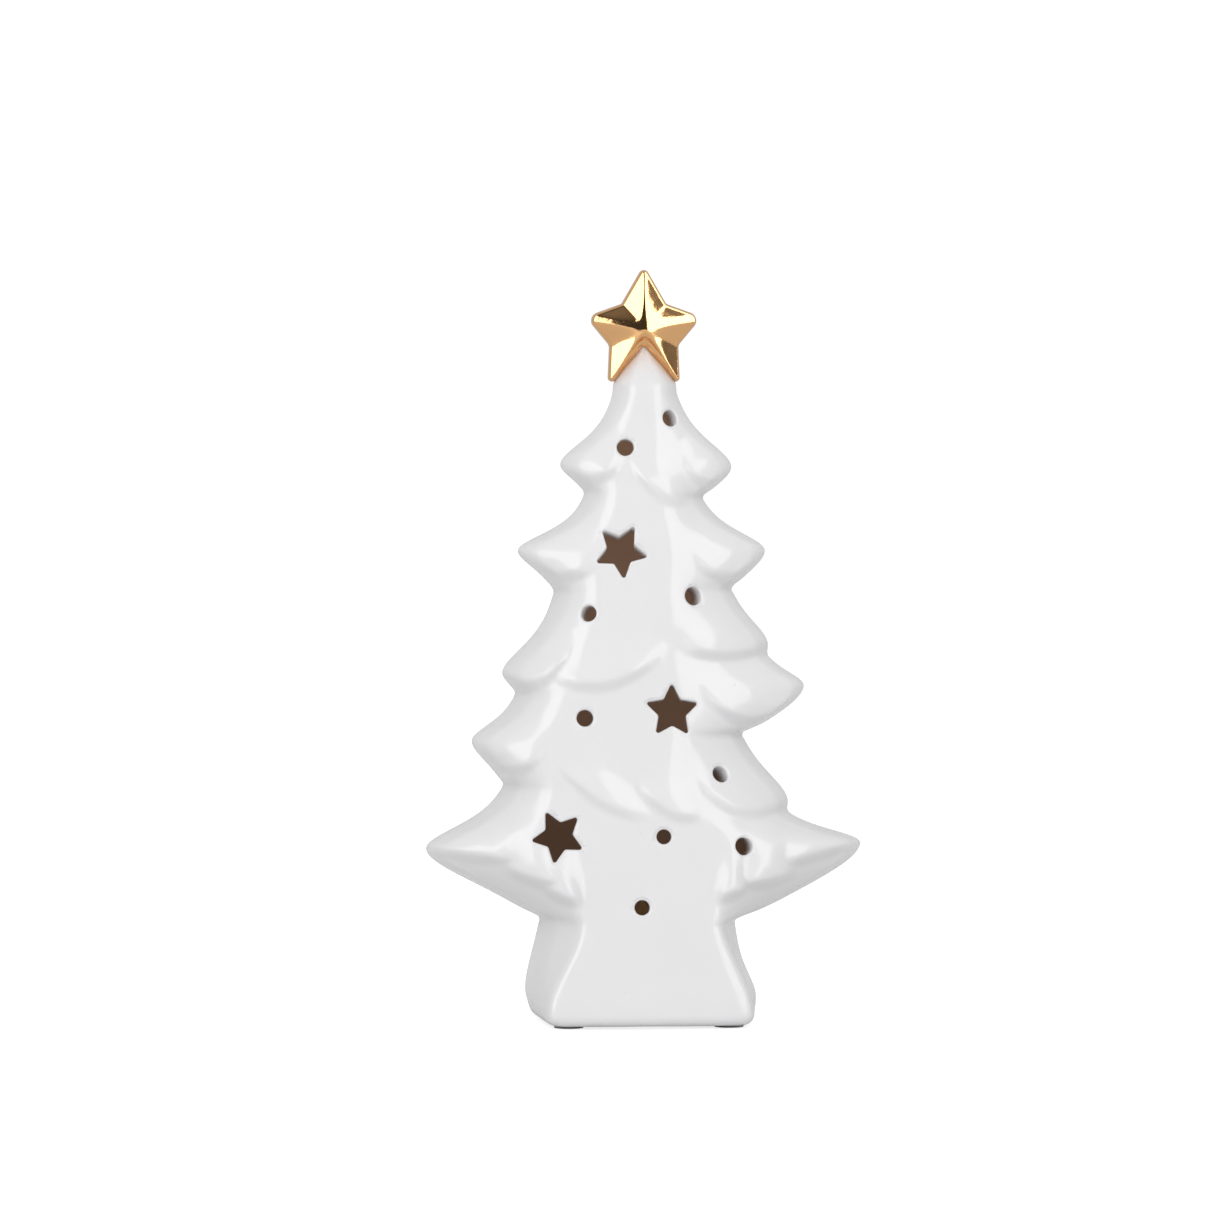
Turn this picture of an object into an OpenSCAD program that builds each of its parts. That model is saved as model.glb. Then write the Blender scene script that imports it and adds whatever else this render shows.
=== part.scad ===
// Pierced porcelain Christmas tree that glows from a battery tealight pushed up into its base.
// Millimetres, +Z up, the front faces -Y. The origin is on the table, under the middle of the base.

/* [Tree] */
// Height of the tree from the table to the point of its cone tip
tree_h = 186.5; // [150:0.5:240]
// Width over the tips of the lowest branches
tree_w = 121; // [100:0.5:160]
// Porcelain left in front of the tealight in the base, and behind it
face_margin = 10; // [9:0.1:16]
// Porcelain left at each side of the tealight in the base
side_margin = 11.6; // [10:0.1:20]
// Thickness of the cast wall
wall_t = 3.8; // [3:0.1:5]
// Thickness of the floor under the cavity
floor_t = 5; // [4:0.1:8]
// How far each skirt of branches stands out at its lower edge
skirt_out = 2.8; // [1:0.1:4]
// Diameter of the round piercings
hole_d = 4.4; // [3:0.1:6]
// Radius of the star piercings, to their points
pierce_r = 7.2; // [5:0.1:9]

/* [Star] */
// Height of the gilded star
star_h = 31.2; // [24:0.1:40]
// Width of the gilded star
star_w = 28.4; // [22:0.1:36]
// Depth of the star over its two middle peaks
star_d = 13; // [9:0.1:18]
// Thickness of the star at its rim
rim_t = 4.4; // [3:0.1:6]

/* [Tealight] */
// Outer diameter of the tealight cup
light_d = 38; // [36:0.1:46]
// Height of the tealight cup
light_h = 14; // [13.5:0.1:17]
// Height of the flame above the cup
flame_h = 18; // [14:0.5:24]
// Diameter of the flame lens where it leaves the cup
flame_d = 12.4; // [10:0.1:15]
// Moulding thickness of the plastic pieces
shell_t = 1.2; // [0.9:0.1:1.4]
// Diameter of the coin cell
cell_d = 20; // [19.5:0.1:24]
// Thickness of the coin cell
cell_t = 3.2; // [2.5:0.1:3.6]
// Travel of the switch
switch_travel = 2.5; // [2:0.1:3]

/* [Seats] */
// Thickness of the felt pads
pad_t = 0.8; // [0.5:0.1:2]
// Diameter of the felt pads
pad_d = 8; // [6:0.1:9]
// Thickness of the rubber ring between the cup and the bore
ring_t = 2.4; // [2:0.1:4]
// Thickness of each lip of the rubber ring
lip_t = 1.2; // [1:0.1:2]
// Width of each lip beyond the bore
lip_w = 2.4; // [1.5:0.1:3]

/* [Fits] */
// Radial gap between the cup and the ring
cup_fit = 0.05; // [0.02:0.01:0.1]
// Gap round the coin cell and the switch
loose_fit = 0.2; // [0.15:0.05:0.4]
// Gap round the battery door
door_fit = 0.15; // [0.1:0.05:0.3]
// Radial gap between the door screw and its boss
screw_fit = 0.05; // [0.03:0.01:0.1]

/* [Hidden] */
$fn = 64;
eps = 0.01;
over = 1;

// The outlines below are drawn for a tree of these sizes, then scaled to the sizes asked for.
drawn_h = 186.5;
drawn_w = 120.9;
drawn_d = 58;
base_d = light_d + 2 * face_margin;
base_w = light_d + 2 * side_margin;
kx = tree_w / drawn_w;
ky = base_d / drawn_d;
kz = tree_h / drawn_h;
foot_w = base_w / 2 / kx;

// Each side of the outline, from the neck down: neck or notch, then tip, in turns.
// [half width, height, how late the sweep that arrives there bends]
side_left = [[8.6, 174, 1], [23.3, 153.6, 1.5], [16.4, 146.4, 0.85], [35.1, 130, 1.6],
             [24.9, 119.3, 0.95], [39.4, 96, 1.4], [35.5, 91, 0.8], [47.9, 77.5, 1.3],
             [38.8, 65.8, 0.85], [60.6, 47.9, 1.35], [28.6, 29, 0.8], [foot_w + 2.4, 9, 0.8],
             [foot_w, 0, 0.8]];
side_right = [[9.1, 174, 1], [24.5, 153, 1.35], [16, 145.3, 0.6], [33.9, 130, 1.35],
              [24, 120, 0.65], [34.7, 104, 1.05], [34.3, 101, 0.6], [44.8, 92.8, 1],
              [26.8, 80, 0.55], [40.3, 60.5, 1.05], [39.8, 57.8, 0.5], [60.7, 49.3, 1.15],
              [25.4, 28.5, 0.65], [foot_w + 0.8, 6.5, 1.45], [foot_w, 0, 0.5]];

// [height, value] up the tree: how far the flat front reaches on each side, half depth, half
// thickness at the parting line, and how full the side is between the two (1 is a flat draft)
flat_left = [[0, foot_w - 2], [5, foot_w - 2.4], [31, 19], [45, 26], [51, 30], [63, 26], [76, 28],
             [88, 24], [100, 19], [115, 15], [130, 13], [144, 9], [157, 7.5], [165, 4.5],
             [174, 1]];
flat_right = [[0, foot_w - 2], [5, foot_w - 2.4], [31, 19], [45, 20], [52, 19], [60, 13], [68, 6],
              [80, 5.5], [98, 6], [115, 6.5], [135, 6], [144, 5], [157, 3], [165, 2], [174, 1]];
half_d = [[0, 29], [4, 29], [15, 27.7], [30, 26.2], [45, 24.8], [60, 23.3], [80, 21.6],
          [100, 19.6], [130, 16], [150, 12.8], [165, 10], [174, 9.2]];
edge_t = [[0, 4], [30, 5], [50, 6.5], [100, 6], [150, 5], [174, 3.5]];
fullness = [[0, 1], [28, 1.05], [50, 1.6], [165, 1.8], [174, 2.1]];

// Lower edges of the branch skirts: [x, z] at one end, [x, z] at the other, sag and strength
skirts = [[-25.7, 151.4, -6, 153.5, 5.5, 0.8], [-5.8, 153.6, 13.2, 143.2, 5.9, 0.5],
          [8.9, 153.8, 25.8, 151.1, 6.6, 0.8], [-38.3, 128.3, -12.9, 125.9, 6.7, 0.9],
          [11.5, 127, 35.3, 128.3, 7.6, 0.9], [-42.2, 94.9, -18.9, 105.3, 8.4, 1],
          [-28.5, 95.3, 6.2, 102.4, 7.6, 0.55], [7.2, 103.2, 36.2, 102.7, 4.1, 1],
          [12.9, 92, 46.7, 92, 11.2, 1], [-51.4, 75.8, -27.9, 74.1, 7.4, 1],
          [-28.7, 74.7, 1.5, 56.6, 6.5, 0.5], [-4.6, 65.8, 15.6, 56.6, 5.1, 0.5],
          [10.6, 68.3, 40.5, 59.9, 8.1, 0.8], [-62.4, 47.4, -34.7, 44.4, 2.1, 1],
          [-41.5, 42.7, -21.8, 37.7, 2.6, 0.8], [-30.8, 37.3, -18, 32.9, 2, 0.6],
          [33.4, 41.4, 61.1, 48, 0.9, 1], [23.3, 38, 42.4, 40.2, 2.4, 0.8],
          [17.4, 33.8, 27.9, 36.5, 1.3, 0.6]];
skirt_turn = 6;
skirt_fade = 15;

// Round piercings: [x, z, yaw of the drill]
drilled = [[6.9, 166.5, 25], [-5.9, 158.5, -20], [12.7, 117.8, 20], [-16.7, 113.2, -28],
           [-17.7, 84.7, -12], [19.9, 69.2, 20], [3.8, 52.4, 0], [25.9, 49.7, 20],
           [-2.3, 33, 0]];
// Star piercings: [x, z, turn]
pierced = [[-7.4, 130.4, -30], [6.3, 86.6, 0], [-25.2, 52.6, 26.5]];
// Depth of a star's inner corners as a share of its radius
pierce_waist = 0.52;

ring_points = 56;
edge_r = 5;
foot_r = 3;
outer_rows = 68;
inner_rows = 32;

// Base, from the table up
base_z = pad_t;
light_raise = 0.4;
light_z = base_z + light_raise;
lip_gap = 0.4;
lip_sunk = 0.2;
pad_gap = 1.2;
bore_r = light_d / 2 + cup_fit + ring_t;
recess_r = bore_r + lip_w + lip_gap;
recess_t = lip_t + lip_sunk;
floor_top = base_z + floor_t;
pad_out = recess_r + pad_d / 2 + pad_gap;
pad_turn = 41.7;

// The tip that the star sits over
cone_z = 173 * kz;
cone_r = 8.6;
cone_top_r = 0.8;
cavity_top = 170 * kz;

// Star, drawn about its middle
star_over = 3.9;
star_up = 16.9;
drawn_star_h = 31.2;
drawn_star_w = 28.4;
peak_up = 0.6;
star_mid = tree_h + star_over;
star_top = star_mid + star_up * star_h / drawn_star_h;
star_low = star_top - star_h;
leg_gap = -4.1;

// Tealight, measured from the bottom of its cup
cover_fit = 0.05;
cup_r = light_d / 2;
cup_bore = cup_r - shell_t;
pool_t = 1.5;
deck_z = light_h - pool_t - shell_t;
cover_r = cup_bore - cover_fit;
cover_t = 2.4;
door_t = 1.4;
cell_r = cell_d / 2;
bay_r = cell_r + loose_fit;
bay_wall = 1.2;
door_land = 1.9;
door_r = bay_r + door_land;
cell_lift = 0.1;
cell_z = door_t + cell_lift;
spring_h = 2.2;
roof_z = cell_z + cell_t + spring_h;
roof_t = 1;
led_lift = 0.8;
led_z = roof_z + roof_t + led_lift;
led_r = 2.5;
led_h = 8.6;
lead_x = 1.27;
lead_r = 0.25;
leaf_t = 0.4;
strip_w = 3.6;
strip_low = 0.6;
strip_gap = 0.05;
plus_x = bay_r + 0.15;
tab_t = 0.6;
tab_w = 2;
minus_x = 5.2;
boss_out = 1.1;
boss_y = door_r + boss_out;
boss_r = 2.2;
ear_r = 2.2;
screw_r = 0.9;
head_r = 1.8;
head_t = 0.9;
screw_l = 4.5;
screw_tip = 0.6;
knob_l = 3;
knob_w = 2.2;
knob_in = 0.3;
shoe_lift = 0.1;
shoe_t = 1.8;
switch_y = (bay_r + bay_wall + cover_r) / 2;
shoe_l = knob_l + 2.4;
shoe_w = knob_w + 1;
can_t = 0.4;
cap_in = 1.2;
cap_low = 0.9;
can_short = 0.5;

function mix(a, b, t) = a + (b - a) * t;
function clamp01(t) = min(1, max(0, t));
function ease(t) = let (u = clamp01(t)) u * u * (3 - 2 * u);

// A sweep that leaves a notch at once and arrives at a tip flat
function bend(t, late) = let (u = pow(t, late)) mix(u, ease(u), t);
// Half width of one side at a drawn height
function span(side, z, i = 0) =
    i >= len(side) - 2 || z >= side[i + 1][1]
    ? let (a = side[i], b = side[i + 1], t = clamp01((a[1] - z) / (a[1] - b[1])))
      mix(a[0], b[0], i % 2 == 0 ? bend(t, b[2]) : 1 - bend(1 - t, b[2]))
    : span(side, z, i + 1);
// The same with its corners rounded by averaging over a short height
function soft(side, z) =
    (span(side, z - 0.9) + 2 * span(side, z) + span(side, z + 0.9)) / 4;
function reach(right, z) = kx * soft(right ? side_right : side_left, z / kz);
// The cavity's half width stays a wall away from the outline in every direction
function inside(right, z) =
    min([for (k = [-1:0.5:1]) reach(right, z + k * wall_t) - wall_t * sqrt(1 - k * k)]);

// How deep the casting stands at a distance from the middle, given its section's sizes
function section(x, w, flat, deep, edge, full) =
    let (t = clamp01((x - flat) / (w - flat)),
         r = min(edge_r, w - flat),
         q = clamp01((x - w + r) / r))
    (deep - (deep - edge) * pow(t, full)) * sqrt(1 - q * q);

// A skirt's ends are crisp at its lower edge and melt away above it
function skirt(e, x, z) =
    let (t = (x - e[0]) / (e[2] - e[0]),
         rise = z - mix(e[1], e[3], t) + 4 * e[4] * t * (1 - t),
         crisp = 6 / (1 + max(0, rise) / 4))
    t <= 0 || t >= 1 || rise <= 0 ? 0
    : e[5] * ease(crisp * t) * ease(crisp * (1 - t)) * ease(rise / skirt_turn)
      * exp(-max(0, rise - skirt_turn) / skirt_fade);
function relief(x, z) = skirt_out * max([for (e = skirts) skirt(e, x / kx, z / kz)]);

// The foot's lower edge is rounded
function foot_in(z) =
    let (h = clamp01((z - base_z) / foot_r)) foot_r * (1 - sqrt(1 - (1 - h) * (1 - h)));

function flat_reach(right, z) = kx * lookup(z / kz, right ? flat_right : flat_left);

function front(x, z) =
    let (w = reach(x > 0, z), h = z / kz,
         q = clamp01((abs(x) - w + edge_r) / edge_r))
    section(abs(x), w, flat_reach(x > 0, z), ky * lookup(h, half_d), lookup(h, edge_t),
            lookup(h, fullness)) + relief(x, z) * sqrt(1 - q * q);

function outer_ring(z) =
    [for (i = [0:ring_points - 1])
        let (a = 360 * i / ring_points, w = reach(cos(a) > 0, z), x = w * cos(a),
             y = (sin(a) > 0 ? 1 : -1) * (abs(sin(a)) < eps ? 0 : front(x, z)),
             s = 1 - foot_in(z) / w)
        [x * s, y * s, z]];
function inner_ring(z) =
    [for (i = [0:ring_points - 1])
        let (a = 360 * i / ring_points, w = inside(cos(a) > 0, z), x = w * cos(a), h = z / kz,
             y = section(abs(x), w, min(w - 1, flat_reach(cos(a) > 0, z) - wall_t / 2),
                         ky * lookup(h, half_d) - wall_t, max(1.2, lookup(h, edge_t) - wall_t),
                         lookup(h, fullness)))
        [x, (sin(a) > 0 ? 1 : -1) * (abs(sin(a)) < eps ? 0 : y), z]];
function round_ring(r, z) =
    [for (i = [0:ring_points - 1])
        [r * cos(360 * i / ring_points), r * sin(360 * i / ring_points), z]];

// The whole casting is one skin: down the outside, in under the floor, and up the cavity
module casting() {
    top = cone_z + 0.6;
    outer_z = [for (i = [0:outer_rows]) mix(top, base_z + foot_r, i / outer_rows)];
    foot_z = [for (h = [0.6, 0.25, 0]) base_z + foot_r * h];
    inner_z = [for (i = [0:inner_rows]) mix(floor_top, cavity_top, i / inner_rows)];
    rings = concat([for (z = outer_z) outer_ring(z)], [for (z = foot_z) outer_ring(z)],
                   [round_ring(bore_r / 2, base_z), round_ring(bore_r / 2, floor_top)],
                   [for (z = inner_z) inner_ring(z)]);
    n = ring_points;
    last = (len(rings) - 1) * n;
    points = concat([for (r = rings) each r], [[0, 0, top], [0, 0, cavity_top]]);
    sides = [for (k = [0:len(rings) - 2]) for (i = [0:n - 1])
                let (a = k * n + i, b = k * n + (i + 1) % n)
                each [[a, b, b + n], [a, b + n, a + n]]];
    lid = [for (i = [0:n - 1]) [i, len(rings) * n, (i + 1) % n]];
    dome = [for (i = [0:n - 1]) [last + i, last + (i + 1) % n, len(rings) * n + 1]];
    polyhedron(points, concat(sides, lid, dome), convexity = 10);
}

function star_points(r, waist) =
    [for (i = [0:9]) let (a = 90 + 36 * i, s = i % 2 == 0 ? r : r * waist)
        [s * cos(a), s * sin(a)]];

// Cuts through the front wall only, from outside the casting into its cavity
module through_front(x, z, yaw) {
    translate([x * kx, -front(x * kx, z * kz), z * kz])
        rotate([0, 0, yaw])
            rotate([90, 0, 0])
                translate([0, 0, -wall_t - 3.5])
                    children();
}

module tree_tip() {
    translate([0, 0, cone_z])
        cylinder(h = tree_h - cone_z, r1 = cone_r, r2 = cone_top_r);
}

module tree_body() {
    color("white")
    difference() {
        union() {
            casting();
            tree_tip();
        }
        translate([0, 0, base_z - over])
            cylinder(h = floor_t + 2 * over, r = bore_r);
        translate([0, 0, base_z - over])
            cylinder(h = recess_t + over, r = recess_r);
        for (d = drilled)
            through_front(d[0], d[1], d[2])
                cylinder(h = 2 * wall_t + 8, d = hole_d);
        for (p = pierced)
            through_front(p[0], p[1], 0)
                linear_extrude(2 * wall_t + 8)
                    rotate(p[2])
                        polygon(star_points(pierce_r, pierce_waist));
    }
}

// Five facets meet at a peak on the front and on the back, and the two legs straddle the tip
module star_topper() {
    sx = star_w / drawn_star_w;
    sz = star_h / drawn_star_h;
    rim = [[0, star_top - star_mid], [-6.6 * sx, 8 * sz], [-14.2 * sx, 3.7 * sz],
           [-9.8 * sx, -3 * sz], [-8.8 * sx, star_low - star_mid], [0, leg_gap],
           [8.8 * sx, star_low - star_mid], [9.8 * sx, -3 * sz], [14.2 * sx, 3.7 * sz],
           [6.6 * sx, 8 * sz]];
    points = concat([for (p = rim) [p[0], -rim_t / 2, p[1]]],
                    [for (p = rim) [p[0], rim_t / 2, p[1]]],
                    [[0, -star_d / 2, peak_up * sz], [0, star_d / 2, peak_up * sz]]);
    faces = [for (i = [0:9]) let (j = (i + 1) % 10)
                each [[i, j, 20], [j + 10, i + 10, 21], [j, i, i + 10], [j, i + 10, j + 10]]];
    color("gold")
    difference() {
        translate([0, 0, star_mid])
            polyhedron(points, faces, convexity = 6);
        tree_tip();
    }
}

// Rubber ring that grips the floor's edge outside and the tealight inside
module light_ring() {
    color("gainsboro")
    difference() {
        union() {
            translate([0, 0, base_z + recess_t - lip_t])
                cylinder(h = lip_t, r = bore_r + lip_w);
            translate([0, 0, base_z + recess_t - lip_t])
                cylinder(h = floor_t - recess_t + 2 * lip_t, r = bore_r);
            translate([0, 0, floor_top])
                cylinder(h = lip_t, r = bore_r + lip_w / 2);
        }
        cylinder(h = floor_top + lip_t + over, r = cup_r + cup_fit);
    }
}

module foot_pads() {
    color("dimgray")
    for (sx = [-1, 1])
        for (sy = [-1, 1])
            translate([sx * pad_out * cos(pad_turn), sy * pad_out * sin(pad_turn), 0])
                cylinder(h = pad_t, d = pad_d);
}

module at_light() {
    translate([0, 0, light_z])
        children();
}

// White cup with a dished top, shaped like a wax tealight
module candle_cup() {
    color("ivory")
    at_light()
    difference() {
        cylinder(h = light_h, r = cup_r);
        translate([0, 0, -over])
            cylinder(h = deck_z + over, r = cup_bore);
        translate([0, 0, light_h - pool_t])
            cylinder(h = pool_t + over, r1 = cup_bore - 1.4, r2 = cup_bore - 0.2);
        cylinder(h = light_h + over, d = flame_d + 0.1);
    }
}

// Radius of the flame at a share of its height
function flame_r(t) = flame_d / 2 * (1 - pow(t, 1.7)) + 1.1 * sin(180 * t);

module flame_lens() {
    top = light_h + flame_h;
    low = deck_z;
    steps = 14;
    flange_w = 1.6;
    hollow_top_r = 3.25;
    skin = [for (i = [0:steps]) let (t = i / steps)
               [max(0.6, flame_r(t)), mix(light_h - pool_t, top, t)]];
    color("lightyellow")
    at_light()
    difference() {
        union() {
            rotate_extrude()
                polygon(concat([[0, top + 0.3]], [for (i = [steps:-1:0]) skin[i]],
                               [[flame_d / 2, low], [0, low]]));
            translate([0, 0, low - shell_t])
                cylinder(h = shell_t, d = flame_d + 2 * flange_w);
        }
        translate([0, 0, low - shell_t - over])
            cylinder(h = light_h - low + shell_t + over, d = flame_d - 2 * shell_t);
        translate([0, 0, light_h - eps])
            cylinder(h = flame_h * 0.62, r1 = flame_d / 2 - shell_t, r2 = hollow_top_r / 2);
    }
}

module led_bulb() {
    color("khaki")
    at_light()
    translate([0, 0, led_z]) {
        cylinder(h = 1, r = led_r + 0.4);
        cylinder(h = led_h - led_r, r = led_r);
        translate([0, 0, led_h - led_r])
            sphere(r = led_r);
    }
}

// Two legs of the bulb, each bent outwards over the bay's roof to its contact
module led_leads() {
    run_z = roof_z + roof_t + lead_r;
    color("silver")
    at_light()
    for (lead = [[1, plus_x - lead_x], [-1, minus_x - lead_x]])
        translate([lead[0] * lead_x, 0, run_z]) {
            cylinder(h = led_z - run_z, r = lead_r, $fn = 24);
            sphere(r = lead_r, $fn = 24);
            rotate([0, lead[0] * 90, 0])
                cylinder(h = lead[1], r = lead_r, $fn = 24);
        }
}

// Strip that stands in the bay's wall and bears on the side of the cell
module contact_positive() {
    color("goldenrod")
    at_light()
    translate([cell_r + strip_gap, -strip_w / 2, cell_z + strip_low])
        cube([plus_x - cell_r, strip_w, roof_z + roof_t - cell_z - strip_low]);
}

// Cone spring under the roof with a tab up through it
module contact_negative() {
    low = cell_z + cell_t;
    color("goldenrod")
    at_light()
    union() {
        translate([0, 0, low])
            cylinder(h = roof_z - low - leaf_t, r1 = 2, r2 = 6);
        translate([0, 0, roof_z - leaf_t])
            cylinder(h = leaf_t, r = 6);
        translate([-minus_x - tab_t / 2, -tab_w / 2, roof_z - leaf_t / 2])
            cube([tab_t, tab_w, roof_t + leaf_t / 2]);
    }
}

module switch_blade() {
    blade_w = 3;
    blade_l = 3.6;
    blade_lift = 0.2;
    color("goldenrod")
    at_light()
    translate([-blade_w / 2, bay_r + bay_wall, cover_t + shoe_lift + shoe_t + blade_lift])
        cube([blade_w, blade_l, leaf_t]);
}

module door_outline(gap) {
    circle(r = door_r + gap);
    translate([-ear_r - gap, -boss_y])
        square([2 * (ear_r + gap), boss_y]);
    translate([0, -boss_y])
        circle(r = ear_r + gap, $fn = 32);
}

// Plate that closes the cup from below, with the cell's bay and the screw's boss standing on it
module base_cover() {
    slot_l = knob_l + switch_travel + 2 * loose_fit;
    slot_w = knob_w + 2 * loose_fit;
    color("snow")
    at_light()
    difference() {
        union() {
            cylinder(h = cover_t, r = cover_r);
            cylinder(h = roof_z + roof_t, r = bay_r + bay_wall);
            translate([0, -boss_y, 0])
                cylinder(h = roof_z, r = boss_r, $fn = 32);
        }
        translate([0, 0, -over])
            linear_extrude(door_t + 0.05 + over)
                door_outline(door_fit);
        translate([0, 0, -over])
            cylinder(h = roof_z + over, r = bay_r);
        translate([0, -boss_y, -over])
            cylinder(h = roof_z + over - 1, r = screw_r + screw_fit, $fn = 32);
        translate([-slot_l / 2, switch_y - slot_w / 2, -over])
            cube([slot_l, slot_w, cover_t + 2 * over]);
        translate([cell_r, -strip_w / 2, cell_z + strip_low])
            cube([plus_x - cell_r + strip_gap, strip_w, roof_z + roof_t]);
        translate([-minus_x - tab_t / 2, -tab_w / 2, roof_z - over])
            cube([tab_t, tab_w, roof_t + 2 * over]);
    }
}

// Slides along X: a knob in the slot with a wider shoe above it
module switch_slider() {
    color("dimgray")
    at_light()
    translate([-switch_travel / 2, switch_y, 0]) {
        translate([-knob_l / 2, -knob_w / 2, knob_in])
            cube([knob_l, knob_w, cover_t + shoe_lift - knob_in]);
        translate([-shoe_l / 2, -shoe_w / 2, cover_t + shoe_lift])
            cube([shoe_l, shoe_w, shoe_t]);
    }
}

module battery_door() {
    color("snow")
    at_light()
    difference() {
        linear_extrude(door_t)
            door_outline(0);
        translate([0, -boss_y, -over])
            cylinder(h = door_t + 2 * over, r = screw_r, $fn = 32);
        translate([0, -boss_y, -eps])
            cylinder(h = head_t, r1 = head_r + eps, r2 = screw_r, $fn = 32);
    }
}

// Countersunk screw with a cross recess
module door_screw() {
    color("silver")
    at_light()
    translate([0, -boss_y, 0])
    difference() {
        union() {
            translate([0, 0, 0.05])
                cylinder(h = head_t - 0.05, r1 = head_r - 0.1, r2 = screw_r, $fn = 32);
            translate([0, 0, head_t / 2])
                cylinder(h = screw_l - head_t / 2, r = screw_r, $fn = 32);
            translate([0, 0, screw_l])
                cylinder(h = screw_tip, r1 = screw_r, r2 = screw_r / 3, $fn = 32);
        }
        for (turn = [0, 90])
            rotate(turn)
                translate([-1.1, -0.2, -over])
                    cube([2.2, 0.4, over + 0.5]);
    }
}

module cell_can() {
    color("silver")
    at_light()
    translate([0, 0, cell_z])
    difference() {
        cylinder(h = cell_t - can_short, r = cell_r);
        translate([0, 0, can_t])
            cylinder(h = cell_t, r = cell_r - can_t);
    }
}

module cell_seal() {
    color("black")
    at_light()
    translate([0, 0, cell_z])
    difference() {
        translate([0, 0, can_t])
            cylinder(h = cell_t - 0.7, r = cell_r - can_t);
        translate([0, 0, can_t - over])
            cylinder(h = cell_t + 2 * over, r = cell_r - cap_in);
    }
}

module cell_cap() {
    color("silver")
    at_light()
    translate([0, 0, cell_z + cap_low])
        cylinder(h = cell_t - cap_low, r = cell_r - cap_in);
}

tree_body();
star_topper();
light_ring();
foot_pads();
candle_cup();
flame_lens();
led_bulb();
led_leads();
contact_positive();
contact_negative();
switch_blade();
base_cover();
switch_slider();
battery_door();
door_screw();
cell_can();
cell_seal();
cell_cap();
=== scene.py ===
# Pierced porcelain Christmas tree with a gilded star, lit from inside by a battery tealight.
import math

import bpy
import numpy as np
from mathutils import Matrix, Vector


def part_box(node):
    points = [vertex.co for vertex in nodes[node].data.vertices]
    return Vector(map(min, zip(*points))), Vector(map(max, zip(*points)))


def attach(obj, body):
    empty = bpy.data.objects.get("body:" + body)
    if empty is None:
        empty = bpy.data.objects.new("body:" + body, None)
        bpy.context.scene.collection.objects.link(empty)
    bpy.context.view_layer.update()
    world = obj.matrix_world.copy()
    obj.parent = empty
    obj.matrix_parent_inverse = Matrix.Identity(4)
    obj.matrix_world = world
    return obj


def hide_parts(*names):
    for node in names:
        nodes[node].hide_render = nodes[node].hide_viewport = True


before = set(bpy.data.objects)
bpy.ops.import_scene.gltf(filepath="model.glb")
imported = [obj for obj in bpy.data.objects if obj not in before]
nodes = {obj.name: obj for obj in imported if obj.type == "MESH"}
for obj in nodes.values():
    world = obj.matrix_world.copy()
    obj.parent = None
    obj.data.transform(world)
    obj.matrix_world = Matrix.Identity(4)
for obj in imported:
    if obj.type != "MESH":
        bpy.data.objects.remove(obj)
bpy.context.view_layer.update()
mm = 0.001
print("stage: frame loaded,", len(nodes), "nodes")


# helpers for modelling

def deselectAll():
    if bpy.context.object and bpy.context.object.mode != "OBJECT":
        bpy.ops.object.mode_set(mode="OBJECT")
    bpy.ops.object.select_all(action="DESELECT")


def makeActive(piece):
    deselectAll()
    piece.select_set(True)
    bpy.context.view_layer.objects.active = piece


def applyModifiers(piece):
    makeActive(piece)
    for name in [m.name for m in piece.modifiers]:
        bpy.ops.object.modifier_apply(modifier=name)


def smoothTurn(t):
    t = np.clip(t, 0.0, 1.0)
    return t * t * (3.0 - 2.0 * t)


def flowing(knots, at):  # a smooth curve through [place, value] knots
    xs, ys = np.array(knots, float).T
    slopes = np.gradient(ys, xs)
    at = np.clip(at, xs[0], xs[-1])
    i = np.clip(np.searchsorted(xs, at) - 1, 0, len(xs) - 2)
    wide = xs[i + 1] - xs[i]
    t = (at - xs[i]) / wide
    return ((2 * t**3 - 3 * t**2 + 1) * ys[i] + (t**3 - 2 * t**2 + t) * wide * slopes[i]
            + (3 * t**2 - 2 * t**3) * ys[i + 1] + (t**3 - t**2) * wide * slopes[i + 1])


def wrapSheet(name, columns, rows, place):
    # a grid of faces, rolled up into a closed skin: place(turn, row) gives x, y, z in millimetres
    deselectAll()
    bpy.ops.mesh.primitive_grid_add(x_subdivisions=columns, y_subdivisions=rows - 1, size=1)
    piece = bpy.context.object
    piece.name = name
    spots = np.empty(len(piece.data.vertices) * 3)
    piece.data.vertices.foreach_get("co", spots)
    spots = spots.reshape(-1, 3)
    turn = np.round((spots[:, 0] + 0.5) * columns).astype(int)
    row = np.round((spots[:, 1] + 0.5) * (rows - 1)).astype(int)
    x, y, z = place(2 * math.pi * turn / columns, row)
    piece.data.vertices.foreach_set("co", (np.stack([x, y, z], 1) * mm).ravel())
    bpy.ops.object.mode_set(mode="EDIT")
    bpy.ops.mesh.select_all(action="SELECT")
    bpy.ops.mesh.remove_doubles(threshold=0.00001)
    bpy.ops.mesh.normals_make_consistent(inside=False)
    bpy.ops.object.mode_set(mode="OBJECT")
    bpy.ops.object.shade_smooth()
    return piece


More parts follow.
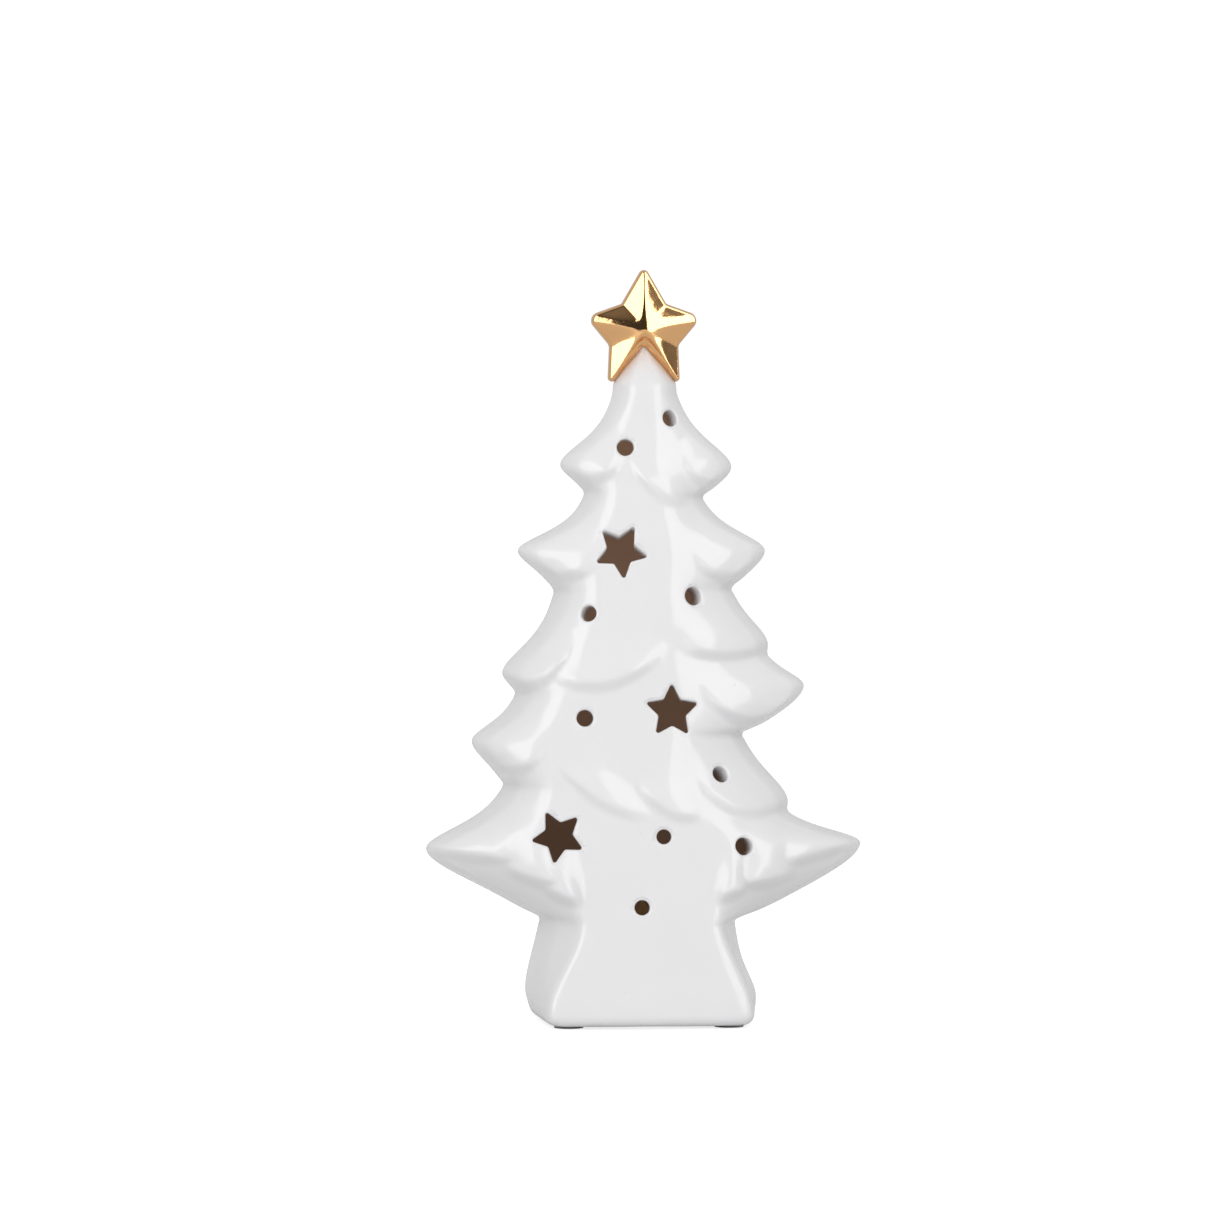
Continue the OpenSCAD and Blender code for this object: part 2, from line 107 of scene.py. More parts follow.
def roundedOutline(corners, onArc, onSide):  # corners are [x, z, radius], anticlockwise
    arcs = []
    for i in range(len(corners)):
        corner, radius = corners[i][:2], corners[i][2]
        back = corners[i - 1][:2] - corner
        onward = corners[(i + 1) % len(corners)][:2] - corner
        back, onward = back / np.linalg.norm(back), onward / np.linalg.norm(onward)
        half = math.acos(np.clip(back @ onward, -1, 1)) / 2
        middle = back + onward
        centre = corner + middle / np.linalg.norm(middle) * radius / math.sin(half)
        start = corner + back * radius / math.tan(half) - centre
        stop = corner + onward * radius / math.tan(half) - centre
        sweep = math.atan2(start[0] * stop[1] - start[1] * stop[0], start @ stop)
        turns = sweep * np.linspace(0, 1, onArc)
        arcs.append(np.stack([centre[0] + start[0] * np.cos(turns) - start[1] * np.sin(turns),
                              centre[1] + start[0] * np.sin(turns) + start[1] * np.cos(turns)], 1))
    spots = []
    for i, arc in enumerate(arcs):
        onward = arcs[(i + 1) % len(arcs)][0]
        steps = np.linspace(0, 1, onSide + 2)[1:-1, None]
        spots += [arc, arc[-1] + (onward - arc[-1]) * steps]
    return np.concatenate(spots)


def outwards(spots):  # directions out of an outline, at each of its points
    along = np.roll(spots, -1, 0) - np.roll(spots, 1, 0)
    out = np.stack([along[:, 1], -along[:, 0]], 1)
    out /= np.linalg.norm(out, axis=1)[:, None]
    return out if (out * (spots - spots.mean(0))).sum() > 0 else -out


# finishes

class Socket:  # one value among the nodes, so that shader maths reads as ordinary maths
    def __init__(self, finish, link):
        self.finish, self.link = finish, link

    def maths(self, operation, other, swapped=False):
        pair = (other, self) if swapped else (self, other)
        return self.finish.node("ShaderNodeMath", {"operation": operation}, dict(enumerate(pair)))

    def __add__(self, other):
        return self.maths("ADD", other)

    def __sub__(self, other):
        return self.maths("SUBTRACT", other)

    def __rsub__(self, other):
        return self.maths("SUBTRACT", other, swapped=True)

    def __mul__(self, other):
        return self.maths("MULTIPLY", other)

    def __truediv__(self, other):
        return self.maths("DIVIDE", other)

    def __rtruediv__(self, other):
        return self.maths("DIVIDE", other, swapped=True)

    __radd__, __rmul__ = __add__, __mul__


class Finish:  # the nodes of one material, or of the world
    def __init__(self, owner):
        owner.use_nodes = True
        self.owner, self.tree = owner, owner.node_tree
        self.place = self.node("ShaderNodeTexCoord", output="Object")

    def node(self, kind, settings=None, values=None, output=0):
        made = self.tree.nodes.new(kind)
        for name, value in (settings or {}).items():
            setattr(made, name, value)
        for place, value in (values or {}).items():
            self.feed(made.inputs[place], value)
        return Socket(self, made.outputs[output])

    def feed(self, place, value):
        if isinstance(value, Socket):
            self.tree.links.new(value.link, place)
        elif place.type == "RGBA":
            place.default_value = (*value, 1)
        else:
            place.default_value = value

    def shader(self, values):  # sets the material's own shader
        made = self.tree.nodes["Principled BSDF"]
        for name, value in values.items():
            self.feed(made.inputs[name], value)
        return Socket(self, made.outputs[0])

    def noise(self, scale, detail=2.0):
        return self.node("ShaderNodeTexNoise", None,
                         {"Vector": self.place, "Scale": scale, "Detail": detail})

    def spread(self, value, **limits):  # fromMin, fromMax, toMin and toMax
        names = {"fromMin": "From Min", "fromMax": "From Max", "toMin": "To Min", "toMax": "To Max"}
        return self.node("ShaderNodeMapRange", None,
                         {"Value": value, **{names[key]: limits[key] for key in limits}})

    def blend(self, share, first, second):  # a mix of two colours
        return self.node("ShaderNodeMix", {"data_type": "RGBA"}, {0: share, 6: first, 7: second}, 2)

    def blendShaders(self, share, first, second):
        return self.node("ShaderNodeMixShader", None, {0: share, 1: first, 2: second})

    def bump(self, height, strength, distance):
        return self.node("ShaderNodeBump", None,
                         {"Height": height, "Strength": strength, "Distance": distance})


def newFinish(name):
    return Finish(bpy.data.materials.new(name))


glazeLook = {
    "white": (0.80, 0.795, 0.805), "pool": (0.785, 0.78, 0.79), "clouds": 45,
    "speck": (0.45, 0.40, 0.36), "specks": 900, "speckShare": 0.5,
    "specksFrom": 0.80, "specksTo": 0.84,  # only the peaks of the noise become specks
    "ripple": 70, "peel": 260, "peelShare": 0.12,
    "roughness": 0.25, "bodyShine": 0.1, "coatRoughness": 0.02, "coatIor": 1.3,
    "bump": (0.2, 0.0004),  # strength, distance
}


def glazeFinish():
    look = glazeLook
    f = newFinish("white glaze")
    body = f.blend(f.noise(look["clouds"], 3), look["white"], look["pool"])
    specks = f.spread(f.noise(look["specks"], 1), fromMin=look["specksFrom"], fromMax=look["specksTo"])
    ripple = f.noise(look["ripple"], 2) + f.noise(look["peel"], 1) * look["peelShare"]
    f.shader({"Base Color": f.blend(specks * look["speckShare"], body, look["speck"]),
              "Roughness": look["roughness"], "Specular IOR Level": look["bodyShine"],
              "Coat Weight": 1.0, "Coat Roughness": look["coatRoughness"],
              "Coat IOR": look["coatIor"], "Normal": f.bump(ripple, *look["bump"])})
    return f.owner


# the inside of the hollow tree: the brown base colour is painted shade standing in for white glaze in
# the dark, and the emission is painted light, not a lamp
cavityShadeLook = {
    "light": (0.30, 0.20, 0.14), "dark": (0.22, 0.14, 0.095), "clouds": 30, "roughness": 0.55,
    "paintedLightLow": (0.014, 0.008, 0.005), "paintedLightHigh": (0.10, 0.063, 0.042),
    "paintedLightTop": 0.16,  # height in metres where the painted light reaches its upper level
    "grain": 500, "bump": (0.3, 0.0002),
}


def paintedShadeCavityFinish():
    look = cavityShadeLook
    f = newFinish("cavity painted shade and light")
    # painted light: the emission grows with height, brighter towards the narrow top of the hollow
    high = f.node("ShaderNodeSeparateXYZ", None, {"Vector": f.place}, "Z") / look["paintedLightTop"]
    # painted shade: a dark brown base colour in place of the white glaze inside
    f.shader({"Base Color": f.blend(f.noise(look["clouds"], 4), look["light"], look["dark"]),
              "Roughness": look["roughness"], "Emission Strength": 1.0,
              "Emission Color": f.blend(high, look["paintedLightLow"], look["paintedLightHigh"]),
              "Normal": f.bump(f.noise(look["grain"], 3), *look["bump"])})
    return f.owner


goldLook = {
    "bright": (0.83, 0.49, 0.23), "deep": (0.77, 0.43, 0.19), "clouds": 60,
    "wear": 420, "smooth": 0.04, "rough": 0.13,
    "ripple": 160, "pits": 1400, "pitShare": 0.12, "bump": (0.2, 0.0004),
}


def goldFinish():
    look = goldLook
    f = newFinish("gold lustre")
    ripple = f.noise(look["ripple"], 2) + f.noise(look["pits"], 2) * look["pitShare"]
    f.shader({"Base Color": f.blend(f.noise(look["clouds"], 3), look["bright"], look["deep"]),
              "Metallic": 1.0,
              "Roughness": f.spread(f.noise(look["wear"], 4), toMin=look["smooth"], toMax=look["rough"]),
              "Normal": f.bump(ripple, *look["bump"])})
    return f.owner


smallLook = {"clouds": 80, "wear": 400, "unevenness": 0.15, "bump": (0.2, 0.0001)}


def smallFinish(name, light, dark, roughness, grain=900.0, extra=None):  # the tealight's materials
    look = smallLook
    f = newFinish(name)
    uneven = f.spread(f.noise(look["wear"], 3), toMin=roughness * (1 - look["unevenness"]),
                      toMax=roughness * (1 + look["unevenness"]))
    f.shader({"Base Color": f.blend(f.noise(look["clouds"], 3), light, dark), "Roughness": uneven,
              "Normal": f.bump(f.noise(grain, 3), *look["bump"]), **(extra or {})})
    return f.owner


metal = {"Metallic": 1.0}
finishes = {
    "glaze": glazeFinish(),
    "cavity": paintedShadeCavityFinish(),
    "gold": goldFinish(),
    "rubber": smallFinish("clear silicone", (0.72, 0.72, 0.70), (0.66, 0.66, 0.64), 0.42),
    "felt": smallFinish("grey felt", (0.34, 0.34, 0.33), (0.28, 0.28, 0.27), 0.95, 2500.0),
    "cup": smallFinish("white cup plastic", (0.80, 0.78, 0.73), (0.76, 0.74, 0.69), 0.35),
    "flame": smallFinish("frosted flame", (0.90, 0.78, 0.50), (0.86, 0.72, 0.44), 0.4,
                         extra={"Subsurface Weight": 0.3}),
    "bulb": smallFinish("amber epoxy", (0.85, 0.66, 0.28), (0.80, 0.60, 0.24), 0.12),
    "brass": smallFinish("sprung brass", (0.72, 0.52, 0.24), (0.66, 0.46, 0.20), 0.3, extra=metal),
    "steel": smallFinish("polished steel", (0.62, 0.62, 0.62), (0.56, 0.56, 0.57), 0.25, extra=metal),
    "black": smallFinish("black plastic", (0.03, 0.03, 0.03), (0.02, 0.02, 0.02), 0.45),
}
nodeFinish = {
    "light_ring": "rubber", "foot_pads": "felt", "candle_cup": "cup", "flame_lens": "flame",
    "led_bulb": "bulb", "led_leads": "steel", "contact_positive": "brass",
    "contact_negative": "brass", "switch_blade": "brass", "base_cover": "cup",
    "switch_slider": "black", "battery_door": "cup", "door_screw": "steel", "cell_can": "steel",
    "cell_seal": "black", "cell_cap": "steel",
}
for name, finish in nodeFinish.items():
    nodes[name].data.materials.clear()
    nodes[name].data.materials.append(finishes[finish])
print("stage: finishes made")


# the porcelain tree, drawn in millimetres and then stretched to the frame's own size

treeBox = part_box("tree_body")
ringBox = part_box("light_ring")
treeTall = treeBox[1].z / mm
drawn = {"wide": 121.4, "halfDeep": 29.0, "tall": 186.5}
ring = {"lipThick": 1.2, "thick": 2.4, "clear": 0.4}  # the soft ring in the floor
treeSizes = {
    "stretchX": (treeBox[1].x - treeBox[0].x) / mm / drawn["wide"],
    "stretchY": treeBox[1].y / mm / drawn["halfDeep"],
    "stretchZ": treeTall / drawn["tall"],
    "baseZ": treeBox[0].z / mm,  # underside of the porcelain, on its felt pads
    "wall": 3.8,
    "floorTop": ringBox[1].z / mm - ring["lipThick"],
    "boreRadius": ringBox[1].x / mm - ring["thick"],
    "recessRadius": ringBox[1].x / mm + ring["clear"],
    "recessDeep": 1.4,
    "footRadius": 3.0,
    "edgeRound": 5.0,  # how far in from the outline the section rounds over
    "cornerSoft": 0.9,  # how far up and down the outline's corners are evened out
    "neckZ": 174.0,
    "tipTall": 13.0,
    "tipStart": 0.1,
    "tipBlunt": 0.5,
    "tipWide": [0.86, 8.8],  # widening below the point, and where it stops
    "tipDeep": [0.8, 9.2],
    "cavityTop": 170.0,
    "cavityEdge": 1.2,  # least half depth of the cavity
    "cavitySoft": 1.8,
    "cavityFaces": {"deeper": 2.0, "inward": 1.5, "below": 0.5, "highest": 171},  # set the cavity apart
    "columns": 232, "outerRows": 292, "innerRows": 44, "tipRows": 28, "footRows": 7,
    # each side from the neck down: notch and tip in turns, as [half width, height, how late it bends]
    "left": [[8.6, 174, 1], [23.3, 153.6, 1.5], [16.4, 146.4, 0.85], [35.1, 130, 1.6],
             [24.9, 119.3, 0.95], [39.4, 96, 1.4], [35.5, 91, 0.8], [47.9, 77.5, 1.3],
             [38.8, 65.8, 0.85], [60.6, 47.9, 1.35], [28.6, 29, 0.8], [33, 9, 0.8],
             [30.6, 0, 0.8]],
    "right": [[9.1, 174, 1], [24.5, 153, 1.35], [16, 145.3, 0.6], [33.9, 130, 1.35],
              [24, 120, 0.65], [34.7, 104, 1.05], [34.3, 101, 0.6], [44.8, 92.8, 1],
              [26.8, 80, 0.55], [40.3, 60.5, 1.05], [39.8, 57.8, 0.5], [60.7, 49.3, 1.15],
              [25.4, 28.5, 0.65], [31.4, 6.5, 1.45], [30.6, 0, 0.5]],
    # how far the flat front reaches to each side, and how soft its shoulder is, as [height, value]
    "flatLeft": [[0, 28.6], [5, 28.2], [31, 19], [45, 26], [51, 30], [63, 26], [76, 28], [88, 24],
                 [100, 19], [115, 15], [130, 13], [144, 9], [157, 7.5], [165, 4.5], [174, 1],
                 [187, 0]],
    "flatRight": [[0, 28.6], [5, 28.2], [31, 19], [45, 20], [52, 19], [60, 13], [68, 6], [80, 5.5],
                  [98, 6], [115, 6.5], [135, 6], [144, 5], [157, 3], [165, 2], [174, 1], [187, 0]],
    "shoulderSoft": [[0, 0.8], [30, 1.0], [50, 1.8], [187, 1.8]],
    "halfDepth": [[0, 29], [4, 29], [15, 27.7], [30, 26.2], [45, 24.8], [60, 23.3], [80, 21.6],
                  [100, 19.6], [130, 16], [150, 12.8], [165, 10], [174, 9.2]],
    "edgeThick": [[0, 4], [30, 5], [50, 6.5], [100, 6], [150, 5], [174, 3.5]],
    "fullness": [[0, 1], [28, 1.05], [50, 1.6], [165, 1.8], [174, 2.1]],
}
skirtSizes = {
    "standOut": 2.8, "turn": 4.4, "fade": 15.0,
    "endTurn": 6.0, "endMelt": 4.0,  # how crisp the ends are, and how they melt away above the edge
    # lower edges of the branch skirts: one end x, z, other end x, z, sag, strength
    "edges": [[-25.7, 151.4, -6, 153.5, 5.5, 0.8], [-5.8, 153.6, 13.2, 143.2, 5.9, 0.6],
              [8.9, 153.8, 25.8, 151.1, 6.6, 0.8], [-38.3, 128.3, -12.9, 125.9, 6.7, 0.9],
              [11.5, 127, 35.3, 128.3, 7.6, 0.9], [-42.2, 94.9, -18.9, 105.3, 8.4, 1],
              [-28.5, 95.3, 6.2, 102.4, 7.6, 0.75], [7.2, 103.2, 36.2, 102.7, 4.1, 1],
              [12.9, 92, 46.7, 92, 11.2, 1], [-51.4, 75.8, -27.9, 74.1, 7.4, 1],
              [-28.7, 74.7, 1.5, 56.6, 6.5, 0.6], [-4.6, 65.8, 15.6, 56.6, 5.1, 0.7],
              [10.6, 68.3, 40.5, 59.9, 8.1, 0.8], [-62.4, 47.4, -34.7, 44.4, 2.1, 1],
              [-41.5, 42.7, -21.8, 37.7, 2.6, 1.2], [-30.8, 37.3, -18, 32.9, 2, 1.1],
              [33.4, 41.4, 61.1, 48, 0.9, 1], [23.3, 38, 42.4, 40.2, 2.4, 1.2],
              [17.4, 33.8, 27.9, 36.5, 1.3, 1.1]],
}
piercingSizes = {
    "starRadius": 7.8, "waist": 0.5, "pointRadius": 0.55, "innerRadius": 1.0,
    "rim": 0.75, "through": 7.0, "above": 3.0,
    "roundPoints": 48, "onArc": 6, "onSide": 5, "rimRows": 7,
    "round": [[6.9, 166.5, 2.25], [-5.9, 158.5, 2.3], [12.7, 117.8, 2.5], [-16.7, 113.2, 2.2],
              [-17.7, 84.7, 2.25], [19.9, 69.2, 2.3], [3.8, 52.4, 2.0], [25.9, 49.7, 2.4],
              [-2.3, 33.2, 2.05]],  # x, z, radius
    "stars": [[-7.4, 130.4, -30, 24], [6.3, 86.6, 0, 12], [-25.2, 52.6, 26.5, 6]],  # x, z, turn, tilt
}


def bend(t, late):  # leaves a notch at once and arrives at a tip flat
    u = t ** late
    return u + (smoothTurn(u) - u) * t


def sideSpan(side, z):
    side = np.array(side)
    i = np.clip(np.searchsorted(-side[:, 1], -z, side="right") - 1, 0, len(side) - 2)
    top, low = side[i], side[i + 1]
    t = np.clip((top[:, 1] - z) / (top[:, 1] - low[:, 1]), 0, 1)
    share = np.where(i % 2 == 0, bend(t, low[:, 2]), 1 - bend(1 - t, low[:, 2]))
    return top[:, 0] + (low[:, 0] - top[:, 0]) * share


def reach(right, z):  # half width of the outline, with its corners rounded
    s = treeSizes
    total = np.zeros_like(z)
    for step, weight in ((-s["cornerSoft"], 1), (0, 2), (s["cornerSoft"], 1)):
        total = total + weight * np.where(right, sideSpan(s["right"], z + step),
                                          sideSpan(s["left"], z + step))
    return total / 4


def inside(right, z):  # half width of the cavity, a wall away in every direction
    wall = treeSizes["wall"]
    least = np.full_like(z, 1e3)
    for k in np.linspace(-1, 1, 9):
        least = np.minimum(least, reach(right, z + k * wall) - wall * math.sqrt(1 - k * k))
    return least


def flatReach(right, z):
    return np.where(right, flowing(treeSizes["flatRight"], z), flowing(treeSizes["flatLeft"], z))


def hinge(d, softness):  # 0 before the fold, d after it, rounded between
    return (np.sqrt(d * d + softness * softness) + d) / 2


def section(x, wide, flat, deep, edge, full, soft):  # half depth at x, the distance from the middle
    def fall(a):
        return hinge(a - flat, soft) + hinge(-a - flat, soft) - 2 * hinge(-flat, soft)

    t = np.clip(fall(x) / fall(wide), 0, 1)
    rim = np.minimum(treeSizes["edgeRound"], wide - flat)
    q = np.clip((x - wide + rim) / rim, 0, 1)
    return (deep - (deep - edge) * t ** full) * np.sqrt(1 - q * q), np.sqrt(1 - q * q)


def relief(x, z):  # how far the branch skirts stand out
    s = skirtSizes
    best = np.zeros_like(x)
    for x0, z0, x1, z1, sag, strength in s["edges"]:
        t = (x - x0) / (x1 - x0)
        rise = z - (z0 + (z1 - z0) * t) + 4 * sag * t * (1 - t)
        crisp = s["endTurn"] / (1 + np.maximum(0, rise) / s["endMelt"])
        swell = (strength * smoothTurn(crisp * t) * smoothTurn(crisp * (1 - t))
                 * smoothTurn(rise / s["turn"])
                 * np.exp(-np.maximum(0, rise - s["turn"]) / s["fade"]))
        best = np.maximum(best, np.where((t > 0) & (t < 1) & (rise > 0), swell, 0))
    return s["standOut"] * best


def skinDepth(x, z):  # how far the outside stands from the parting plane, drawn millimetres
    s = treeSizes
    deep, rim = section(np.abs(x), reach(x > 0, z), flatReach(x > 0, z), flowing(s["halfDepth"], z),
                        flowing(s["edgeThick"], z), flowing(s["fullness"], z),
                        flowing(s["shoulderSoft"], z))
    return deep + relief(x, z) * rim


def signed(turn, deep):  # to the front or the back, and none where the two halves meet
    return np.sign(np.sin(turn)) * np.where(np.abs(np.sin(turn)) < 1e-6, 0, deep)


# one function for each kind of row round the skin: x, y and z at each turn

def endRow(turn, right, height):
    return 0, 0, height


def skinRow(turn, right, height, drawnIn=0):
    up = np.full(len(turn), height)
    wide = reach(right, up)
    across = wide * np.cos(turn)
    shrink = 1 - drawnIn / wide
    return across * shrink, signed(turn, skinDepth(across, up)) * shrink, up


def footRow(turn, right, bendAngle):  # the rounded edge under the trunk
    s = treeSizes
    height = s["baseZ"] / s["stretchZ"] + s["footRadius"] * (1 - math.sin(bendAngle))
    return skinRow(turn, right, height, s["footRadius"] * (1 - math.cos(bendAngle)))


def lesser(a, b, softness=1.2):  # the smaller of two, with a rounded change between them
    return (a + b - np.sqrt((a - b) ** 2 + softness * softness)) / 2


def tipRow(turn, right, height):  # the neck's own section, drawn in towards the point
    s = treeSizes
    below = treeTall / s["stretchZ"] + s["tipBlunt"] - height
    wide, deep = (lesser(slope * below, most) / lesser(slope * s["tipTall"], most)
                  for slope, most in (s["tipWide"], s["tipDeep"]))
    x, y, _ = skinRow(turn, right, s["neckZ"])
    return x * wide, y * deep, height


def floorRow(turn, right, edge):  # a circle, whatever the tree is stretched to
    radius, height = edge
    return (radius / treeSizes["stretchX"] * np.cos(turn),
            radius / treeSizes["stretchY"] * np.sin(turn), height)


def cavityRow(turn, right, height):
    s = treeSizes
    up = np.full(len(turn), height)
    wide = inside(right, up)
    across = wide * np.cos(turn)
    deep, _ = section(np.abs(across), wide,
                      np.minimum(wide - 1, flatReach(right, up) - s["wall"] / 2),
                      flowing(s["halfDepth"], up) - s["wall"],
                      np.maximum(s["cavityEdge"], flowing(s["edgeThick"], up) - s["wall"]),
                      flowing(s["fullness"], up), s["cavitySoft"])
    return across, signed(turn, deep), up


def treeRows():  # down the outside from the tip, in under the floor, and up the cavity
    s = treeSizes
    top, base = treeTall / s["stretchZ"], s["baseZ"] / s["stretchZ"]
    low = s["floorTop"] / s["stretchZ"]
    recessTop = base + s["recessDeep"]
    parts = [
        (endRow, [top]),
        (tipRow, np.linspace(top - s["tipStart"], s["neckZ"], s["tipRows"])[:-1]),
        (skinRow, np.linspace(s["neckZ"], base + s["footRadius"], s["outerRows"])),
        (footRow, np.linspace(0, math.pi / 2, s["footRows"])[1:]),
        (floorRow, [(s["recessRadius"], base), (s["recessRadius"], recessTop),
                    (s["boreRadius"], recessTop), (s["boreRadius"], low)]),
        (cavityRow, np.linspace(low, s["cavityTop"], s["innerRows"])),
        (endRow, [s["cavityTop"]]),
    ]
    return [(shape, value) for shape, values in parts for value in values]


def buildTree():
    s = treeSizes
    rows = treeRows()

    def place(turn, row):
        x, y, z = np.zeros((3, len(turn)))
        right = np.cos(turn) > 0
        for r, (shape, value) in enumerate(rows):
            here = row == r
            x[here], y[here], z[here] = shape(turn[here], right[here], value)
        return x * s["stretchX"], y * s["stretchY"], z * s["stretchZ"]

    return wrapSheet("porcelainTree", s["columns"], len(rows), place)


def markCavity(piece):  # faces that look into the cavity take the second material, with its painted shade and painted light
    s, limits = treeSizes, treeSizes["cavityFaces"]
    mesh = piece.data
    mesh.update()
    centre = np.empty(len(mesh.polygons) * 3)
    mesh.polygons.foreach_get("center", centre)
    centre = centre.reshape(-1, 3) / mm
    x = centre[:, 0] / s["stretchX"]
    y = np.abs(centre[:, 1]) / s["stretchY"]
    z = centre[:, 2] / s["stretchZ"]
    level = np.clip(z, s["footRadius"], s["neckZ"] - 1)
    within = ((skinDepth(x, level) - y > limits["deeper"])
              & (reach(x > 0, level) - np.abs(x) > limits["inward"])
              & (z > s["floorTop"] - limits["below"]) & (z < limits["highest"]))
    mesh.polygons.foreach_set("material_index", within.astype(int))
    mesh.update()


def steepness(x, z, step=0.2):  # slopes of the skin across and up
    def depth(a, b):
        return skinDepth(np.array([a]), np.array([b]))[0]

    return ((depth(x + step, z) - depth(x - step, z)) / (2 * step),
            (depth(x, z + step) - depth(x, z - step)) / (2 * step))


def starOutline(turned):
    p = piercingSizes
    corners = []
    for i in range(10):
        a = math.radians(90 + 36 * i + turned)
        radius = p["starRadius"] if i % 2 == 0 else p["starRadius"] * p["waist"]
        corners.append([radius * math.cos(a), radius * math.sin(a),
                        p["innerRadius" if i % 2 else "pointRadius"]])
    return roundedOutline(np.array(corners), p["onArc"], p["onSide"])


def cutterFor(outline, x, z, along):
    # follows the skin round the piercing, so that its rim is rounded evenly
    p, s = piercingSizes, treeSizes
    depth = skinDepth(np.array([x]), np.array([z]))[0]
    centre = np.array([x, -depth, z])
    across = np.cross([0, 0, 1.0], along)
    across /= np.linalg.norm(across)
    across = -across if across[0] < 0 else across
    up = np.cross(across, along)
    up = up if up[2] > 0 else -up
    normals = outwards(outline)
    levels = [(-p["through"], 0), (-p["rim"] * 2, 0)]
    for a in np.linspace(0, math.pi / 2, p["rimRows"]):
        levels.append((-p["rim"] + p["rim"] * math.sin(a), p["rim"] * (1 - math.cos(a))))
    levels.append((p["above"], p["rim"]))
    n = len(outline)

    def place(turn, row):
        i = np.round(turn / (2 * math.pi) * n).astype(int) % n
        out = np.zeros((len(turn), 3))
        for r in range(len(levels) + 2):
            here = row == r
            high, grow = levels[min(max(r - 1, 0), len(levels) - 1)]
            flat = outline[i[here]] + normals[i[here]] * grow
            if r in (0, len(levels) + 1):  # the two ends close to a point
                flat = flat * 0
            spot = centre + flat[:, :1] * across + flat[:, 1:] * up
            for _ in range(4):  # slide along the drill until the spot lies on the skin
                short = spot[:, 1] + skinDepth(spot[:, 0], spot[:, 2])
                spot = spot + 0.8 * short[:, None] * along
            out[here] = spot + high * along
        return out[:, 0] * s["stretchX"], out[:, 1] * s["stretchY"], out[:, 2] * s["stretchZ"]

    return wrapSheet("cutter", n, len(levels) + 2, place)


def pierceTree(piece):
    p = piercingSizes
    cutters = []
    turns = np.linspace(0, 2 * math.pi, p["roundPoints"], endpoint=False)
    circle = np.stack([np.cos(turns), np.sin(turns)], 1)
    for x, z, radius in p["round"]:  # drilled square to the skin
        slopeX, slopeZ = steepness(x, z)
        along = np.array([-slopeX, -1.0, -slopeZ])
        cutters.append(cutterFor(radius * circle, x, z, along / np.linalg.norm(along)))
    for x, z, turned, tilt in p["stars"]:
        tilt = math.radians(tilt)
        along = np.array([0, -math.cos(tilt), math.sin(tilt)])
        cutters.append(cutterFor(starOutline(turned), x, z, along))
    makeActive(cutters[0])
    for cutter in cutters:
        cutter.data.materials.append(finishes["glaze"])
        cutter.select_set(True)
    bpy.ops.object.join()
    drill = bpy.context.object
    cut = piece.modifiers.new("piercings", "BOOLEAN")
    cut.operation, cut.solver, cut.object = "DIFFERENCE", "EXACT", drill
    applyModifiers(piece)
    bpy.data.objects.remove(drill)


tree = buildTree()
tree.data.materials.append(finishes["glaze"])
tree.data.materials.append(finishes["cavity"])
markCavity(tree)
print("stage: tree skin,", len(tree.data.polygons), "faces")
pierceTree(tree)
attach(tree, "tree")
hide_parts("tree_body")
print("stage: tree pierced,", len(tree.data.polygons), "faces")


# the gilded star

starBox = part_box("star_topper")
starSizes = {
    "middle": starBox[1].z / mm - 16.9,  # height of the middle, below the upper point
    "peak": 6.5,  # depth of the middle of each face
    "peakUp": 0.6,
    "shoulder": 3.3,  # depth where the facets turn over into the rim
    "rim": 0.9,  # how far the turn reaches in from the outline
    "innerRim": 1.8,  # the same between the two legs
    "dome": 0.32, "domeSpan": 0.73,  # how rounded the middle is, and the fall from it to the shoulder
    "ridge": 2.0, "ridgeFade": 0.6,  # how softly the facets meet, and how much less so outwards
    "gather": 0.8,  # under 1 the rows of a face lie closer together towards its edge
    "onArc": 14, "onSide": 14, "facetRows": 16, "rimRows": 7,
    # corners of the outline, with the radius that rounds each
    "corners": [[0, 18.3, 1.4], [-6.2, 7.6, 0.9], [-16.2, 4, 2.4], [-9.6, -3.9, 2],
                [-10.1, -16.1, 1.15], [0, -4.1, 0.5], [10.1, -16.1, 1.15], [9.6, -3.9, 2],
                [16.2, 4, 2.4], [6.2, 7.6, 0.9]],
}


def starRim():  # how far the turn reaches in, at each point of the outline
    s = starSizes
    per = s["onArc"] + s["onSide"]
    legs = np.zeros(len(s["corners"]) * per)  # 1 along the inner edges of the legs
    along = np.arange(s["onSide"] + 1) / s["onSide"]
    for corner, share in ((4, along), (5, 1 - along)):
        start = corner * per + s["onArc"] - 1
        legs[start:start + s["onSide"] + 1] = smoothTurn(3 * share)
    legs[5 * per:5 * per + s["onArc"]] = 1
    return s["rim"] + (s["innerRim"] - s["rim"]) * legs


def evened(outline, distance):  # evens out a ring over a distance, in points along it
    waves = np.fft.fft(outline[:, 0] + 1j * outline[:, 1])
    turns = np.fft.fftfreq(len(outline)) * 2 * math.pi * distance
    outline = np.fft.ifft(waves * np.exp(-turns ** 2 / 2))
    return np.stack([outline.real, outline.imag], 1)


